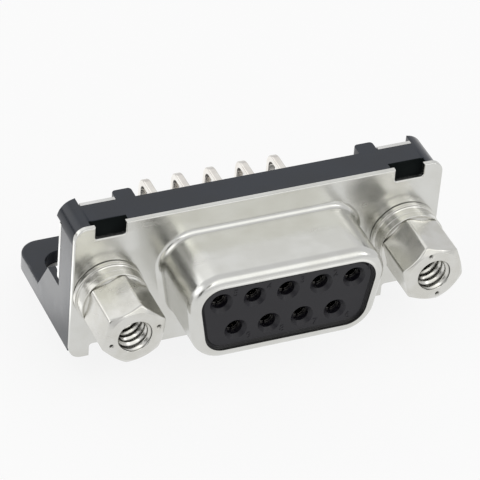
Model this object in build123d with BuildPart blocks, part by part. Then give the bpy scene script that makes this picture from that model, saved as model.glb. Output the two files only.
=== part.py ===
from build123d import *
import math
import os

# Nine-way right-angle D-subminiature socket for a circuit board, in millimetres.
# Origin on the board's surface, midway between the two mounting holes.
# X runs across the connector, Y away from the mating side, Z up from the board.

# Contact layout of the nine-way size
contact_pitch = 2.77
contact_row_spacing = 2.84
upper_row_count = 5
lower_row_count = 4

# Margins from the contacts out to the shell, on to the jackscrews' axes, and to the flange's edges
shell_end = 2.625
shell_margin = 2.53
jackscrew_reach = 4.335
flange_end = 2.905
flange_margin = 2.3

# Height of the socket's centre above the board, and its flange ahead of the board holes
socket_height = 5.7
flange_setback = 9.15

# Drawn metal shell
sheet = 0.4
flange_corner = 1.0
flange_edge_round = 0.1
shell_depth = 6.1
shell_side_angle = 10
shell_corner = 2.6
root_radius = 0.5
nose_radius = 0.8
nose_lip = 0.1
notch_width = 2.5
notch_depth = 1.15
notch_corner = 0.25

# Jackscrews and their washers
thread_dia = 2.84
thread_clearance = 0.02
screw_hole_dia = 3.1
flat_washer_dia = 5.7
flat_washer_thickness = 0.5
lock_washer_dia = 5.4
lock_washer_thickness = 0.65
lock_washer_gap = 0.35
lock_washer_slant = 25
collar_dia = 5.5
collar_thickness = 0.6
hex_across_flats = 4.76
hex_across_corners = 5.4
hex_length = 4.2
hex_end_dia = 4.6
hex_end_slope = 30
jackscrew_bore_depth = 4.0
bore_lead_in = 0.15
stud_end_inset = 0.3
left_hex_turn = 20
right_hex_turn = 46
left_gap_turn = 200
right_gap_turn = 250
washer_edge_round = 0.1

# Insulators, front one inside the shell and rear one behind it
face_step = 0.15
face_gap = 0.2
shell_clearance = 0.08
insulator_edge_round = 0.45
face_edge_chamfer = 0.12
seat_margin = 1.25
front_seat_thickness = 0.85
rear_seat_thickness = 0.6
rear_block_reach = 1.2
pocket_clearance = 0.05

# Socket contacts and their bent tails
mouth_dia = 1.28
mouth_sink_dia = 1.88
mouth_sink_depth = 0.3
mouth_length = 0.9
barrel_dia = 1.56
barrel_bore_dia = 1.04
barrel_bore_depth = 6.0
barrel_slot_width = 0.16
barrel_slot_length = 3.0
barrel_clearance = 0.03
barrel_end_play = 0.05
contact_collar_dia = 2.0
contact_collar_thickness = 0.5
tail_size = 0.6
tail_rise = 0.17
tail_clearance = 0.03
tail_edge_round = 0.12
tail_bend_radius = 0.85
tail_tip_chamfer = 0.1
tail_length = 3.0

# Moulded bracket
bracket_depth = 2.55
bracket_corner = 1.6
board_hole_dia = 3.1
foot_inner = 2.195
foot_back = 3.45
foot_thickness = 1.55
foot_corner = 1.7
moulded_edge_round = 0.2
gusset_thickness = 0.65
gusset_height = 4.6
gusset_shelf = 2.4
gusset_run = 4.35
stud_hole_dia = 3.2
top_recess_width = 3.0
top_recess_height = 1.6
top_recess_depth = 0.53
bottom_notch_width = 3.0
bottom_notch_height = 0.8
bottom_notch_depth = 1.5
lug_width = 1.45
lug_height = 1.4
lug_reach = 1.1
lug_edge_round = 0.08
tab_width = 1.6
tab_height = 0.9
tab_reach = 1.15
tab_inner = 2.3
tab_corner = 0.3

# Metal grounding straps behind the bracket
strap_sheet = 0.35
strap_inner = 2.895
strap_tongue_width = 3.0
strap_corner = 0.8
strap_skirt = 2.2
strap_ring_dia = 4.0
strap_bend_round = 0.3
strap_clearance = 0.05

# Threaded inserts that take the jackscrews
insert_body_dia = 3.8
insert_body_length = 1.9
insert_collar_dia = 5.0
insert_collar_thickness = 1.2
insert_clearance = 0.05
insert_edge_chamfer = 0.15

# Overall sizes that the contact layout and the margins lead to
shell_width = (upper_row_count - 1) * contact_pitch + 2 * shell_end
shell_height = contact_row_spacing + 2 * shell_margin
jackscrew_spacing = shell_width + 2 * jackscrew_reach
flange_width = jackscrew_spacing + 2 * flange_end
flange_height = shell_height + 2 * flange_margin

# Depths along Y that the sizes above lead to
flange_front = -flange_setback
flange_back = flange_front + sheet
nose_front = flange_front - shell_depth
lip_back = nose_front + sheet
insulator_face = lip_back - face_step
seat_joint = flange_back + front_seat_thickness
seat_back = seat_joint + rear_seat_thickness
bracket_back = flange_back + bracket_depth
strap_back = bracket_back + strap_sheet
rear_block_back = bracket_back + rear_block_reach
barrel_front = insulator_face + mouth_length + barrel_end_play
flat_washer_front = flange_front - flat_washer_thickness
lock_washer_front = flat_washer_front - lock_washer_thickness
hex_base = lock_washer_front - collar_thickness
hex_end = hex_base - hex_length
insert_back = strap_back + insert_collar_thickness

# Half sizes that several pieces share
half_flange_width = flange_width / 2
flange_top = flange_height / 2
bracket_top = socket_height + flange_top
lug_x = half_flange_width - lug_width / 2
jackscrew_x = jackscrew_spacing / 2
foot_width = flange_end + foot_inner
strap_plate_width = flange_end + strap_inner
tab_centre = jackscrew_x - tab_inner
strap_slot_width = strap_tongue_width + 2 * strap_clearance
plate_top = flange_top - tab_height - strap_clearance
plate_height = plate_top - (gusset_height - socket_height)
strap_skirt_width = strap_plate_width - gusset_thickness - strap_clearance
skirt_edge = half_flange_width - gusset_thickness - strap_clearance
tab_edge = tab_centre + tab_width / 2 + strap_clearance
lug_edge = half_flange_width - lug_width - strap_clearance
opening_inset = nose_radius + nose_lip


def across(depth):
    """Plane across the connector at a depth, centred on the socket and facing the mating side."""
    return Plane(origin=(0, depth, socket_height), x_dir=(1, 0, 0), z_dir=(0, -1, 0))


def d_outline(depth, inset):
    """D-shaped outline of the shell at a depth, moved inwards on every side by inset."""
    corner = shell_corner - inset
    lean = math.radians(shell_side_angle)
    corner_widening = 2 * corner * ((1 + math.sin(lean)) / math.cos(lean) - 1)
    width = shell_width - 2 * inset + corner_widening
    with BuildSketch(across(depth)) as outline:
        Trapezoid(width, shell_height - 2 * inset, 90 - shell_side_angle, rotation=180)
        fillet(outline.vertices(), radius=corner)
    return outline.sketch


def contact_places():
    """Number, X and height over the socket's centre of each contact, numbered as on the mating side."""
    places = []
    for row_count, row_height in (
        (upper_row_count, contact_row_spacing / 2),
        (lower_row_count, -contact_row_spacing / 2),
    ):
        for position in range(row_count):
            x = contact_pitch * ((row_count - 1) / 2 - position)
            places.append((len(places) + 1, x, row_height))
    return places


def end_face(piece, point):
    """Face across the connector that lies nearest to a point."""
    return piece.faces().filter_by(Axis.Y).sort_by_distance(point)[0]


def save(piece, label):
    """Label a finished piece and write it as one STEP file."""
    piece.label = label
    export_step(piece, f"parts/{label}.step")


os.makedirs("parts", exist_ok=True)
contact_points = [(x, height) for number, x, height in contact_places()]

# Drawn metal shell with its flange
with BuildPart() as front_shell:
    with BuildSketch(across(flange_back)):
        RectangleRounded(flange_width, flange_height, flange_corner)
    extrude(amount=sheet)
    extrude(d_outline(flange_front, 0), amount=shell_depth)
    fillet(front_shell.faces().sort_by(Axis.Y)[0].edges(), radius=nose_radius)
    flange_face = front_shell.faces().filter_by(Axis.Y).sort_by(Axis.Y)[1]
    fillet(flange_face.inner_wires()[0].edges(), radius=root_radius)
    extrude(d_outline(flange_back, sheet), amount=flange_back - lip_back, mode=Mode.SUBTRACT)
    cavity_floor = front_shell.faces().filter_by(Axis.Y).sort_by(Axis.Y)[1]
    fillet(cavity_floor.edges(), radius=nose_radius - sheet)
    extrude(d_outline(lip_back, opening_inset), amount=sheet, mode=Mode.SUBTRACT)
    back_face = front_shell.faces().filter_by(Axis.Y).sort_by(Axis.Y)[-1]
    fillet(back_face.inner_wires()[0].edges(), radius=root_radius + sheet)
    with BuildSketch(across(flange_back)):
        with GridLocations(jackscrew_spacing, 1, 2, 1):
            Circle(screw_hole_dia / 2)
        with GridLocations(jackscrew_spacing, flange_height - notch_depth, 2, 2):
            Rectangle(notch_width, notch_depth)
    extrude(amount=sheet, mode=Mode.SUBTRACT)
    notch_floors = front_shell.faces().filter_by(Axis.Z).filter_by(
        lambda face: abs(abs(face.center().Z - socket_height) - flange_top + notch_depth) < notch_corner
    )
    fillet(notch_floors.edges().filter_by(Axis.Y), radius=notch_corner)
    flange_face = front_shell.faces().filter_by(Axis.Y).group_by(Axis.Y)[-2].sort_by(SortBy.AREA)[-1]
    fillet(flange_face.outer_wire().edges(), radius=flange_edge_round)
save(front_shell.part, "front_shell")

# Front insulator, seated behind the shell's lip and against its flange
with BuildPart() as front_insulator:
    extrude(d_outline(flange_back, sheet + shell_clearance), amount=flange_back - lip_back)
    fillet(front_insulator.faces().sort_by(Axis.Y)[0].edges(), radius=insulator_edge_round)
    extrude(d_outline(lip_back, opening_inset + face_gap), amount=lip_back - insulator_face)
    chamfer(front_insulator.faces().sort_by(Axis.Y)[0].edges(), length=face_edge_chamfer)
    extrude(d_outline(seat_joint, -seat_margin), amount=front_seat_thickness)
    with BuildSketch(across(seat_joint)):
        with Locations(*contact_points):
            Circle(mouth_dia / 2)
    extrude(amount=seat_joint - insulator_face, mode=Mode.SUBTRACT)
    with BuildSketch(across(seat_joint)):
        with Locations(*contact_points):
            Circle(barrel_dia / 2 + barrel_clearance)
    extrude(amount=seat_joint - insulator_face - mouth_length, mode=Mode.SUBTRACT)
    mouth_edges = front_insulator.faces().sort_by(Axis.Y)[0].inner_wires().edges()
    chamfer(mouth_edges, length=(mouth_sink_dia - mouth_dia) / 2, length2=mouth_sink_depth)
save(front_insulator.part, "front_insulator")

# Rear insulator, held between the front one and the bracket
with BuildPart() as rear_insulator:
    extrude(d_outline(seat_back, -seat_margin), amount=rear_seat_thickness)
    extrude(d_outline(rear_block_back, 0), amount=rear_block_back - seat_back)
    chamfer(rear_insulator.faces().sort_by(Axis.Y)[-1].edges(), length=face_edge_chamfer)
    with BuildSketch(across(rear_block_back)):
        with Locations(*[(x, height + tail_rise) for x, height in contact_points]):
            Rectangle(tail_size + 2 * tail_clearance, tail_size + 2 * tail_clearance)
    extrude(amount=rear_block_back - seat_joint, mode=Mode.SUBTRACT)
    with BuildSketch(across(seat_joint)):
        with Locations(*contact_points):
            Circle(contact_collar_dia / 2 + barrel_clearance)
    extrude(amount=-contact_collar_thickness, mode=Mode.SUBTRACT)
save(rear_insulator.part, "rear_insulator")

# Contacts: slotted socket barrel, collar, and square tail bent down into the board
for number, x, height in contact_places():
    with BuildPart() as contact:
        with BuildSketch(across(seat_joint)):
            with Locations((x, height)):
                Circle(barrel_dia / 2)
        extrude(amount=seat_joint - barrel_front)
        with BuildSketch(across(barrel_front)):
            with Locations((x, height)):
                Circle(barrel_bore_dia / 2)
        extrude(amount=-barrel_bore_depth, mode=Mode.SUBTRACT)
        with BuildSketch(across(barrel_front)):
            with Locations((x, height)):
                Rectangle(barrel_slot_width, 2 * barrel_dia)
                Rectangle(2 * barrel_dia, barrel_slot_width)
        extrude(amount=-barrel_slot_length, mode=Mode.SUBTRACT)
        with BuildSketch(across(seat_joint)):
            with Locations((x, height)):
                Circle(contact_collar_dia / 2)
        extrude(amount=-contact_collar_thickness)
        with BuildLine(Plane.YZ.offset(x)) as tail_path:
            FilletPolyline(
                (seat_joint + contact_collar_thickness, socket_height + height + tail_rise),
                (height, socket_height + height + tail_rise),
                (height, -tail_length),
                radius=tail_bend_radius,
            )
        with BuildSketch(across(seat_joint + contact_collar_thickness)):
            with Locations((x, height + tail_rise)):
                RectangleRounded(tail_size, tail_size, tail_edge_round)
        sweep(path=tail_path.wire())
        chamfer(contact.faces().sort_by(Axis.Z)[0].edges(), length=tail_tip_chamfer)
    save(contact.part, f"contact_{number}")

# Moulded bracket: wall behind the flange, two feet on the board; right half drawn and mirrored
with BuildPart() as bracket:
    with BuildSketch(across(flange_back)) as wall:
        with Locations((0, -socket_height)):
            Rectangle(half_flange_width, socket_height + flange_top, align=Align.MIN)
        fillet(wall.vertices().sort_by_distance((half_flange_width, flange_top))[0], radius=bracket_corner)
    extrude(amount=-bracket_depth)
    with BuildSketch(across(bracket_back)):
        add(wall.sketch_local)
        with Locations((half_flange_width, flange_top)):
            Rectangle(lug_width, lug_height, align=Align.MAX, mode=Mode.INTERSECT)
    extrude(amount=-lug_reach)
    lug_end = end_face(bracket, (lug_x, bracket_back + lug_reach, bracket_top))
    fillet(lug_end.edges(), radius=lug_edge_round)
    with BuildSketch(across(bracket_back)):
        with Locations((tab_centre, flange_top)):
            Rectangle(tab_width, tab_height, align=(Align.CENTER, Align.MAX))
    extrude(amount=-tab_reach)
    tab_end = end_face(bracket, (tab_centre, bracket_back + tab_reach, bracket_top))
    fillet(tab_end.edges().filter_by(Axis.Z), radius=tab_corner)
    with BuildSketch() as foot:
        with Locations((half_flange_width, bracket_back)):
            Rectangle(foot_width, foot_back - bracket_back, align=(Align.MAX, Align.MIN))
        fillet(foot.vertices().sort_by_distance((half_flange_width, foot_back))[0], radius=foot_corner)
    extrude(amount=foot_thickness)
    foot_rim = bracket.faces().filter_by(Axis.Z).sort_by_distance((jackscrew_x, 0, foot_thickness))[0]
    rim_edges = foot_rim.edges().filter_by(lambda edge: edge.center().Y > bracket_back)
    fillet(rim_edges, radius=moulded_edge_round)
    with BuildSketch(Plane.YZ.offset(half_flange_width)):
        with BuildLine():
            Polyline(
                (bracket_back, foot_thickness - moulded_edge_round),
                (bracket_back, gusset_height),
                (bracket_back + gusset_shelf, gusset_height),
                (bracket_back + gusset_run, foot_thickness),
                (bracket_back + gusset_run, foot_thickness - moulded_edge_round),
                close=True,
            )
        make_face()
    extrude(amount=-gusset_thickness)
    # Seat for both insulators, and the way through for the rear one
    pocket = d_outline(seat_back, -seat_margin - pocket_clearance)
    extrude(pocket, amount=seat_back - flange_back, mode=Mode.SUBTRACT)
    extrude(d_outline(bracket_back, -pocket_clearance), amount=bracket_depth, mode=Mode.SUBTRACT)
    # Way through for the jackscrew's stud, and the insert's bore behind it
    with BuildSketch(across(flange_back)):
        with Locations((jackscrew_x, 0)):
            Circle(stud_hole_dia / 2)
    extrude(amount=-bracket_depth, mode=Mode.SUBTRACT)
    with BuildSketch(across(bracket_back)):
        with Locations((jackscrew_x, 0)):
            Circle(insert_body_dia / 2 + insert_clearance)
    extrude(amount=insert_body_length - strap_sheet + insert_clearance, mode=Mode.SUBTRACT)
    # Pocket behind the flange's upper notch, and relief behind its lower one
    with BuildSketch(across(flange_back)):
        with Locations((jackscrew_x, flange_top)):
            Rectangle(top_recess_width, top_recess_height, align=(Align.CENTER, Align.MAX))
    extrude(amount=-top_recess_depth, mode=Mode.SUBTRACT)
    with BuildSketch(across(flange_back)):
        with Locations((jackscrew_x, -socket_height)):
            Rectangle(bottom_notch_width, bottom_notch_height, align=(Align.CENTER, Align.MIN))
    extrude(amount=-bottom_notch_depth, mode=Mode.SUBTRACT)
    # Board hole, slot for the strap's tongue, and recess for its ring
    with BuildSketch():
        with Locations((jackscrew_x, 0)):
            Circle(board_hole_dia / 2)
        with Locations((jackscrew_x, bracket_back)):
            Rectangle(strap_slot_width, strap_sheet + strap_clearance, align=(Align.CENTER, Align.MIN))
    extrude(amount=foot_thickness, mode=Mode.SUBTRACT)
    with BuildSketch():
        with Locations((jackscrew_x, 0)):
            Circle(strap_ring_dia / 2 + strap_clearance)
            Rectangle(strap_slot_width, -bracket_back, align=(Align.CENTER, Align.MAX))
    extrude(amount=strap_sheet + strap_clearance, mode=Mode.SUBTRACT)
    mirror(about=Plane.YZ)
save(bracket.part, "bracket")

# Right grounding strap: plate behind the wall, tongue through the foot, ring round the board hole
with BuildPart() as ground_strap_right:
    with BuildSketch(across(bracket_back)) as plate:
        with Locations((half_flange_width, gusset_height - socket_height)):
            Rectangle(strap_plate_width, plate_height, align=(Align.MAX, Align.MIN))
        fillet(plate.vertices().group_by(Axis.X)[-1].sort_by(Axis.Y)[0], radius=strap_corner)
    extrude(amount=-strap_sheet)
    with BuildSketch(across(bracket_back)):
        with Locations((lug_edge, plate_top)):
            Rectangle(lug_edge - tab_edge, flange_top - plate_top, align=(Align.MAX, Align.MIN))
        with Locations((skirt_edge, gusset_height - socket_height)):
            Rectangle(strap_skirt_width, strap_skirt, align=Align.MAX)
        with Locations((jackscrew_x, -socket_height)):
            Rectangle(strap_tongue_width, gusset_height - strap_skirt, align=(Align.CENTER, Align.MIN))
    extrude(amount=-strap_sheet)
    with BuildSketch():
        with Locations((jackscrew_x, 0)):
            Circle(strap_ring_dia / 2)
            Rectangle(strap_tongue_width, -bracket_back, align=(Align.CENTER, Align.MAX))
    extrude(amount=strap_sheet)
    with BuildSketch(across(bracket_back)):
        with Locations((half_flange_width, flange_top)):
            Rectangle(lug_width + strap_clearance, lug_height + strap_clearance, align=Align.MAX)
        with Locations((jackscrew_x, 0)):
            Circle(insert_body_dia / 2 + insert_clearance)
    extrude(amount=-strap_sheet, mode=Mode.SUBTRACT)
    with BuildSketch():
        with Locations((jackscrew_x, 0)):
            Circle(board_hole_dia / 2)
    extrude(amount=strap_sheet, mode=Mode.SUBTRACT)
    bend = ground_strap_right.edges().filter_by(Axis.X).sort_by_distance((jackscrew_x, bracket_back, 0))[0]
    fillet(bend, radius=strap_bend_round)
save(ground_strap_right.part, "ground_strap_right")

# Left grounding strap, the right one's mirror image
with BuildPart() as ground_strap_left:
    mirror(ground_strap_right.part, about=Plane.YZ)
save(ground_strap_left.part, "ground_strap_left")

for side, x, hex_turn, gap_turn in (
    ("left", -jackscrew_x, left_hex_turn, left_gap_turn),
    ("right", jackscrew_x, right_hex_turn, right_gap_turn),
):
    # Threaded insert, pressed through the strap into the bracket
    with BuildPart() as threaded_insert:
        with BuildSketch(across(insert_back)):
            with Locations((x, 0)):
                Circle(insert_collar_dia / 2)
        extrude(amount=insert_collar_thickness)
        chamfer(threaded_insert.faces().sort_by(Axis.Y)[-1].edges(), length=insert_edge_chamfer)
        with BuildSketch(across(strap_back)):
            with Locations((x, 0)):
                Circle(insert_body_dia / 2)
        extrude(amount=insert_body_length)
        with BuildSketch(across(insert_back)):
            with Locations((x, 0)):
                Circle(thread_dia / 2 + thread_clearance)
        extrude(amount=insert_collar_thickness + insert_body_length, mode=Mode.SUBTRACT)
    save(threaded_insert.part, f"threaded_insert_{side}")

    # Flat washer on the flange
    with BuildPart() as flat_washer:
        with BuildSketch(across(flange_front)):
            with Locations((x, 0)):
                Circle(flat_washer_dia / 2)
                Circle(screw_hole_dia / 2, mode=Mode.SUBTRACT)
        extrude(amount=flat_washer_thickness)
        fillet(flat_washer.faces().sort_by(Axis.Y)[0].outer_wire().edges(), radius=washer_edge_round)
    save(flat_washer.part, f"flat_washer_{side}")

    # Split lock washer, pressed flat
    with BuildPart() as lock_washer:
        with BuildSketch(across(flat_washer_front)):
            with Locations((x, 0)):
                Circle(lock_washer_dia / 2)
                Circle(screw_hole_dia / 2, mode=Mode.SUBTRACT)
        extrude(amount=lock_washer_thickness)
        gap_plane = across(flat_washer_front).rotated((0, 0, gap_turn))
        gap_plane.origin = Vector(x, flat_washer_front, socket_height)
        with BuildSketch(gap_plane.rotated((lock_washer_slant, 0, 0))):
            with Locations((lock_washer_dia / 2, 0)):
                Rectangle(lock_washer_dia / 2, lock_washer_gap)
        extrude(amount=lock_washer_dia, both=True, mode=Mode.SUBTRACT)
    save(lock_washer.part, f"lock_washer_{side}")

    # Jackscrew: turned hexagon with a threaded bore, round collar, and stud through to the insert
    with BuildPart() as jackscrew:
        with BuildSketch(across(hex_base)):
            with Locations((x, 0)):
                Circle(hex_across_corners / 2)
        extrude(amount=hex_length)
        crown = (hex_across_corners - hex_end_dia) / 2
        crown_depth = crown * math.tan(math.radians(hex_end_slope))
        end_face = jackscrew.faces().sort_by(Axis.Y)[0]
        chamfer(end_face.edges(), length=crown, length2=crown_depth, reference=end_face)
        with BuildSketch(across(hex_base)):
            with Locations((x, 0)):
                RegularPolygon(hex_across_flats / 2, 6, major_radius=False, rotation=hex_turn)
        extrude(amount=hex_length, mode=Mode.INTERSECT)
        with BuildSketch(across(lock_washer_front)):
            with Locations((x, 0)):
                Circle(collar_dia / 2)
        extrude(amount=collar_thickness)
        with BuildSketch(across(insert_back - stud_end_inset)):
            with Locations((x, 0)):
                Circle(thread_dia / 2)
        extrude(amount=insert_back - stud_end_inset - lock_washer_front)
        with BuildSketch(across(hex_end)):
            with Locations((x, 0)):
                Circle(thread_dia / 2 + thread_clearance)
        extrude(amount=-jackscrew_bore_depth, mode=Mode.SUBTRACT)
        bore_mouth = jackscrew.faces().sort_by(Axis.Y)[0].inner_wires()[0]
        chamfer(bore_mouth.edges(), length=bore_lead_in)
    save(jackscrew.part, f"jackscrew_{side}")
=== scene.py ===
"""Looks of a nine-way right-angle D-subminiature socket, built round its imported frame.

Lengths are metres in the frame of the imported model: X runs across the connector,
Y away from its mating side and Z up from the circuit board.
"""

import logging
import math
from abc import ABC, abstractmethod
from dataclasses import dataclass
from enum import Enum

import bmesh
import bpy
import numpy as np
from mathutils import Matrix, Vector


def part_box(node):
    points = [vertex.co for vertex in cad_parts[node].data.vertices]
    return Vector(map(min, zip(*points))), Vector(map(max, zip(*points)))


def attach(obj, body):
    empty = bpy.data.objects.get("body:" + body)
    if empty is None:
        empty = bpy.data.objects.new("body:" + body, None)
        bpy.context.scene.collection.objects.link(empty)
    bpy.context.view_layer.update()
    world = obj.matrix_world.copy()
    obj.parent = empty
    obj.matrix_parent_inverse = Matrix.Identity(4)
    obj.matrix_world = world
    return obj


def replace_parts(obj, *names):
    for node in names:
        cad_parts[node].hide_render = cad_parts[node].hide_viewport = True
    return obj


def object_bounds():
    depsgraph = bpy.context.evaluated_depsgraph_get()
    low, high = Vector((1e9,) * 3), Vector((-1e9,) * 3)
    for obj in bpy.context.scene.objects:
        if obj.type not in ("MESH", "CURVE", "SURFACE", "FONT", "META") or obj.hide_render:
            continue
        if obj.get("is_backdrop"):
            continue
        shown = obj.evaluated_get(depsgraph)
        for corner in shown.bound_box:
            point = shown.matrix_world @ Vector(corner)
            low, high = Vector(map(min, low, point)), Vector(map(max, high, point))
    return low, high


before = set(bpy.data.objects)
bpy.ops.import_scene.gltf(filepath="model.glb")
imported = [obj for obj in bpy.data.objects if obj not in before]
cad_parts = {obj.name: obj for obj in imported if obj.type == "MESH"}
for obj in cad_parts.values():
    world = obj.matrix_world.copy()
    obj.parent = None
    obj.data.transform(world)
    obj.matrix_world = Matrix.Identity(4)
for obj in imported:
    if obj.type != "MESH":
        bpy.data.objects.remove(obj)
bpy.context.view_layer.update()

log = logging.getLogger("d_sub_connector")

MM = 0.001
FULL_TURN = 2 * math.pi
SHARP_ANGLE = math.radians(35.0)
BODY = "root"
# Name of the point attribute that paints shade on plated metal in its hollows, with a darker colour and a
# duller surface.
PAINTED_SHADE = "painted_shade"
WHITE = (1.0, 1.0, 1.0, 1.0)
Colour = tuple[float, float, float]

# Noise levels between which the tone and the rub marks rise from none to full.
MOTTLE_BAND = (0.32, 0.68)
RUB_BAND = (0.58, 0.74)

# How the rub marks' noise is turned, in radians, and stretched.
RUB_TURN = (0.4, 0.3, 0.7)
RUB_STRETCH = (0.12, 1.0, 1.0)

# The most that a rounded corner takes of a stretch beside it, and how many cuts from the
# corner the flat shading starts.
CORNER_SHARE = 0.3
FLAT_FROM = 1.5


class Side(Enum):
    """The two ends of the connector, seen from the mating side."""

    LEFT = "left"
    RIGHT = "right"


# How far the hexagon, its punch marks and the lock washer's gap are turned from +X, in degrees.
SCREW_TURNS = {Side.LEFT: (20.0, 15.0, 200.0), Side.RIGHT: (46.0, 104.0, 250.0)}


class Slot(Enum):
    """Material slots of the record."""

    SHELL = "shell_plating"
    HARDWARE = "hardware_plating"
    STRAP = "strap_plating"
    CONTACT = "contact_metal"
    INSULATOR = "insulator_plastic"
    BRACKET = "bracket_plastic"


class Graph:
    """A node tree with short ways to add nodes and links."""

    def __init__(self, tree: bpy.types.NodeTree) -> None:
        """Keep the tree and empty it.

        Args:
            tree: the node tree to fill.
        """
        self.tree = tree
        tree.nodes.clear()

    def add(self, kind: str, inputs: dict | None = None, **settings: object) -> bpy.types.Node:
        """Add a node.

        Args:
            kind: the node's type name.
            inputs: values or output sockets by the input's name or number.
            settings: attributes of the node itself.

        Returns:
            The new node.
        """
        node = self.tree.nodes.new(kind)
        for name, value in settings.items():
            setattr(node, name, value)
        for key, value in (inputs or {}).items():
            if isinstance(value, bpy.types.NodeSocket):
                self.tree.links.new(value, node.inputs[key])
            else:
                node.inputs[key].default_value = value
        return node

    def math(self, operation: str, *values: object) -> bpy.types.NodeSocket:
        """Add a Math node for one to three values and return its output."""
        return self.add("ShaderNodeMath", dict(enumerate(values)), operation=operation).outputs[0]

    def dot(self, first: object, second: object) -> bpy.types.NodeSocket:
        """Add a Dot Product node and return its output."""
        node = self.add("ShaderNodeVectorMath", {0: first, 1: second}, operation="DOT_PRODUCT")
        return node.outputs["Value"]

    def mix(self, factor: object, first: object, second: object) -> bpy.types.NodeSocket:
        """Add a Mix node for two values and return its output."""
        return self.add("ShaderNodeMix", {0: factor, 2: first, 3: second}, data_type="FLOAT").outputs[0]

    def blend(self, factor: object, first: object, second: object) -> bpy.types.NodeSocket:
        """Add a Mix node for two colours and return its output."""
        return self.add("ShaderNodeMix", {0: factor, 6: first, 7: second}, data_type="RGBA").outputs[2]

    def ramp(self, value: object, none_at: float, full_at: float,
             kind: str = "SMOOTHSTEP") -> bpy.types.NodeSocket:
        """Add a Map Range node that goes from 0 to 1 between two values and return its output."""
        inputs = {0: value, 1: none_at, 2: full_at, 3: 0.0, 4: 1.0}
        return self.add("ShaderNodeMapRange", inputs, interpolation_type=kind).outputs[0]


def new_material(name: str) -> tuple[bpy.types.Material, Graph]:
    """Make an empty material.

    Args:
        name: the material's name.

    Returns:
        The material and the graph of its node tree.
    """
    material = bpy.data.materials.new(name)
    material.use_nodes = True
    return material, Graph(material.node_tree)


def new_group(name: str, inputs: dict[str, float], outputs: dict[str, str],
              ) -> tuple[bpy.types.NodeTree, Graph, bpy.types.Node, bpy.types.Node]:
    """Make an empty shader node group.

    Args:
        name: the group's name.
        inputs: value inputs with their defaults; a Vector input is always there.
        outputs: socket types by the output's name.

    Returns:
        The group, its graph, its input node and its output node.
    """
    group = bpy.data.node_groups.new(name, "ShaderNodeTree")
    group.interface.new_socket("Vector", in_out="INPUT", socket_type="NodeSocketVector")
    for label, value in inputs.items():
        group.interface.new_socket(label, in_out="INPUT", socket_type="NodeSocketFloat").default_value = value
    for label, kind in outputs.items():
        group.interface.new_socket(label, in_out="OUTPUT", socket_type=kind)
    graph = Graph(group)
    return group, graph, graph.add("NodeGroupInput"), graph.add("NodeGroupOutput")


def make_mottle_group() -> bpy.types.NodeTree:
    """Make the group for uneven plating or moulded skin.

    The height is a broad noise plus a fine one, and the tone is the broad noise spread out.

    Returns:
        The node group, with Height and Tone outputs.
    """
    group, graph, start, end = new_group(
        "surface_mottle", {"Broad Scale": 400.0, "Fine Scale": 4000.0, "Fine Share": 0.5},
        {"Height": "NodeSocketFloat", "Tone": "NodeSocketFloat"})
    broad = graph.add("ShaderNodeTexNoise", {
        "Vector": start.outputs["Vector"], "Scale": start.outputs["Broad Scale"], "Detail": 2.0})
    fine = graph.add("ShaderNodeTexNoise", {
        "Vector": start.outputs["Vector"], "Scale": start.outputs["Fine Scale"], "Detail": 1.0})
    height = graph.mix(start.outputs["Fine Share"], broad.outputs[0], fine.outputs[0])
    graph.tree.links.new(height, end.inputs["Height"])
    graph.tree.links.new(graph.ramp(broad.outputs[0], *MOTTLE_BAND), end.inputs["Tone"])
    return group


def make_rub_group() -> bpy.types.NodeTree:
    """Make the group for faint rub marks from handling.

    A noise stretched along one direction is cut off above a level, so that few thin streaks stay.

    Returns:
        The node group, with a Mask output.
    """
    group, graph, start, end = new_group("rub_marks", {"Scale": 900.0}, {"Mask": "NodeSocketFloat"})
    turned_way = graph.add("ShaderNodeMapping", {
        "Vector": start.outputs["Vector"], "Rotation": RUB_TURN, "Scale": RUB_STRETCH})
    streaks = graph.add("ShaderNodeTexNoise", {
        "Vector": turned_way.outputs[0], "Scale": start.outputs["Scale"], "Detail": 3.0})
    mask = graph.ramp(streaks.outputs[0], *RUB_BAND, kind="LINEAR")
    graph.tree.links.new(mask, end.inputs["Mask"])
    return group


@dataclass(frozen=True)
class Finish(ABC):
    """What the finishes share: a tone that wanders with a broad mottle, rub marks and a faint relief."""

    name: str
    colour: Colour
    tint: Colour
    roughness: float
    roughness_spread: float
    relief: float
    broad_scale: float
    fine_scale: float
    fine_share: float

    @abstractmethod
    def skin(self, graph: Graph, colour: object, tone: object, rubbed: object) -> dict[str, object]:
        """Work out what the shader takes.

        Args:
            graph: the material's graph.
            colour: the mottled colour's socket.
            tone: the mottle's tone.
            rubbed: the mask of the rub marks.

        Returns:
            The shader's inputs by name.
        """

    def build(self, mottle: bpy.types.NodeTree, rubs: bpy.types.NodeTree) -> bpy.types.Material:
        """Build the material.

        Args:
            mottle: the mottle group.
            rubs: the rub mark group.

        Returns:
            The material.
        """
        material, graph = new_material(self.name)
        place = graph.add("ShaderNodeTexCoord").outputs["Object"]
        grain = graph.add("ShaderNodeGroup", {
            "Vector": place, "Broad Scale": self.broad_scale, "Fine Scale": self.fine_scale,
            "Fine Share": self.fine_share}, node_tree=mottle).outputs
        marks = graph.add("ShaderNodeGroup", {"Vector": place}, node_tree=rubs).outputs
        colour = graph.blend(grain["Tone"], (*self.colour, 1.0), (*self.tint, 1.0))
        bump = graph.add("ShaderNodeBump", {
            "Height": grain["Height"], "Distance": self.relief, "Strength": 1.0})
        shader = graph.add("ShaderNodeBsdfPrincipled", {
            **self.skin(graph, colour, grain["Tone"], marks["Mask"]), "Normal": bump.outputs[0]})
        graph.add("ShaderNodeOutputMaterial", {"Surface": shader.outputs[0]})
        return material


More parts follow.
